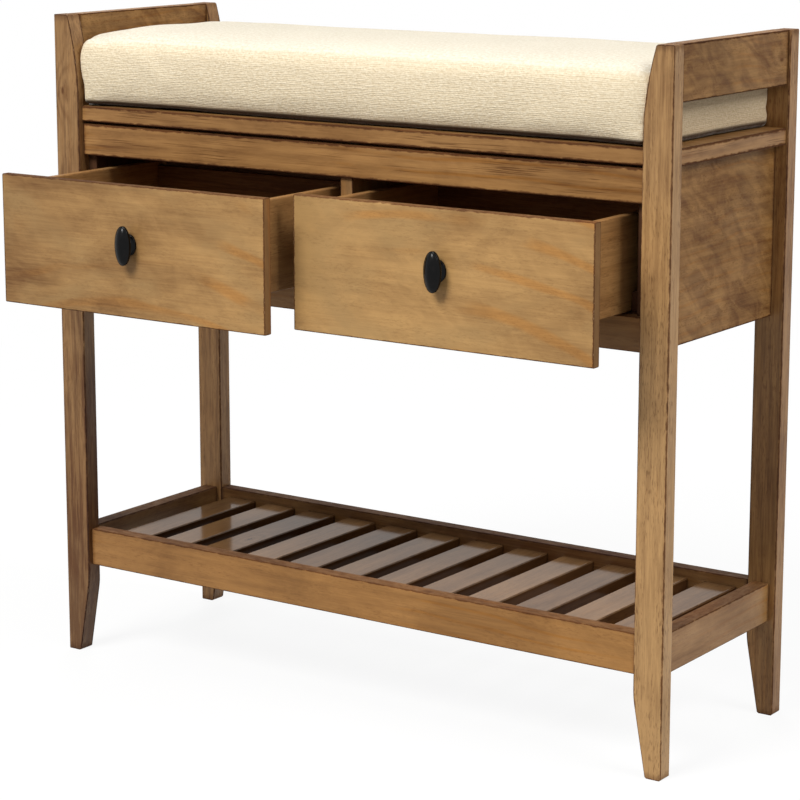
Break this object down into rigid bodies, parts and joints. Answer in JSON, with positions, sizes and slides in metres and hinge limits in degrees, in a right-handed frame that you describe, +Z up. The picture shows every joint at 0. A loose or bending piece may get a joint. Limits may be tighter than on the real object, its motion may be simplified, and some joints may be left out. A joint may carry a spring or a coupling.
{
  "type": "shoe storage bench",
  "caption": "Wooden entry bench with a loose linen seat cushion, a case with pull-out drawers under the seat board, and a slatted shoe shelf between tapered legs.",
  "frame": {"origin": "on the floor, at the centre of the whole outline seen from above, with both drawers standing open as in the picture", "axes": "+Z up, +X to the right along the bench, +Y to its back; the drawers open towards -Y"},
  "size_m": [0.8, 0.418, 0.748],
  "materials": {
    "frame_wood": "honey brown oak with a satin lacquer and dark glaze in the joints",
    "drawer_front_wood": "honey brown oak with orange streaks, satin lacquer",
    "slat_wood": "honey brown oak, satin lacquer",
    "drawer_box_wood": "brown softwood, thin varnish",
    "inner_wood": "dark brown stain, matt",
    "cushion_linen": "coarse cream linen with slubs",
    "knob_black": "black, satin",
    "screw_steel": "zinc plated"
  },
  "bodies": {
    "frame": {"front_left_post": "frame_wood", "front_right_post": "frame_wood", "back_left_post": "frame_wood", "back_right_post": "frame_wood", "left_arm_rail": "frame_wood", "right_arm_rail": "frame_wood", "left_side_panel": "frame_wood", "right_side_panel": "frame_wood", "left_case_side": "inner_wood", "right_case_side": "inner_wood", "upper_front_rail": "frame_wood", "lower_front_rail": "frame_wood", "back_panel": "inner_wood", "centre_divider": "frame_wood", "left_outer_runner": "inner_wood", "left_inner_runner": "inner_wood", "right_inner_runner": "inner_wood", "right_outer_runner": "inner_wood", "left_outer_guide": "inner_wood", "left_inner_guide": "inner_wood", "right_inner_guide": "inner_wood", "right_outer_guide": "inner_wood", "seat_board": "frame_wood", "left_shelf_rail": "frame_wood", "right_shelf_rail": "frame_wood", "front_shelf_rail": "frame_wood", "back_shelf_rail": "frame_wood", "front_slat_cleat": "inner_wood", "back_slat_cleat": "inner_wood", "slat_01": "slat_wood", "slat_02": "slat_wood", "slat_03": "slat_wood", "slat_04": "slat_wood", "slat_05": "slat_wood", "slat_06": "slat_wood", "slat_07": "slat_wood", "slat_08": "slat_wood", "slat_09": "slat_wood", "slat_10": "slat_wood", "slat_11": "slat_wood", "slat_12": "slat_wood"},
    "left_drawer": {"left_drawer_front": "drawer_front_wood", "left_drawer_outer_side": "drawer_box_wood", "left_drawer_inner_side": "drawer_box_wood", "left_drawer_back": "drawer_box_wood", "left_drawer_bottom": "drawer_box_wood", "left_drawer_knob": "knob_black", "left_drawer_screw": "screw_steel"},
    "right_drawer": {"right_drawer_front": "drawer_front_wood", "right_drawer_outer_side": "drawer_box_wood", "right_drawer_inner_side": "drawer_box_wood", "right_drawer_back": "drawer_box_wood", "right_drawer_bottom": "drawer_box_wood", "right_drawer_knob": "knob_black", "right_drawer_screw": "screw_steel"},
    "cushion": {"cushion": "cushion_linen"}
  },
  "joints": [
    {"name": "left_drawer_slide", "type": "slide", "parent": "frame", "child": "left_drawer", "axis": [0, -1, 0], "range_m": [-0.13, 0.04]},
    {"name": "right_drawer_slide", "type": "slide", "parent": "frame", "child": "right_drawer", "axis": [0, -1, 0], "range_m": [-0.085, 0.085]},
    {"name": "cushion_lift", "type": "slide", "parent": "frame", "child": "cushion", "axis": [0, 0, 1], "range_m": [0, 0.12]}
  ]
}
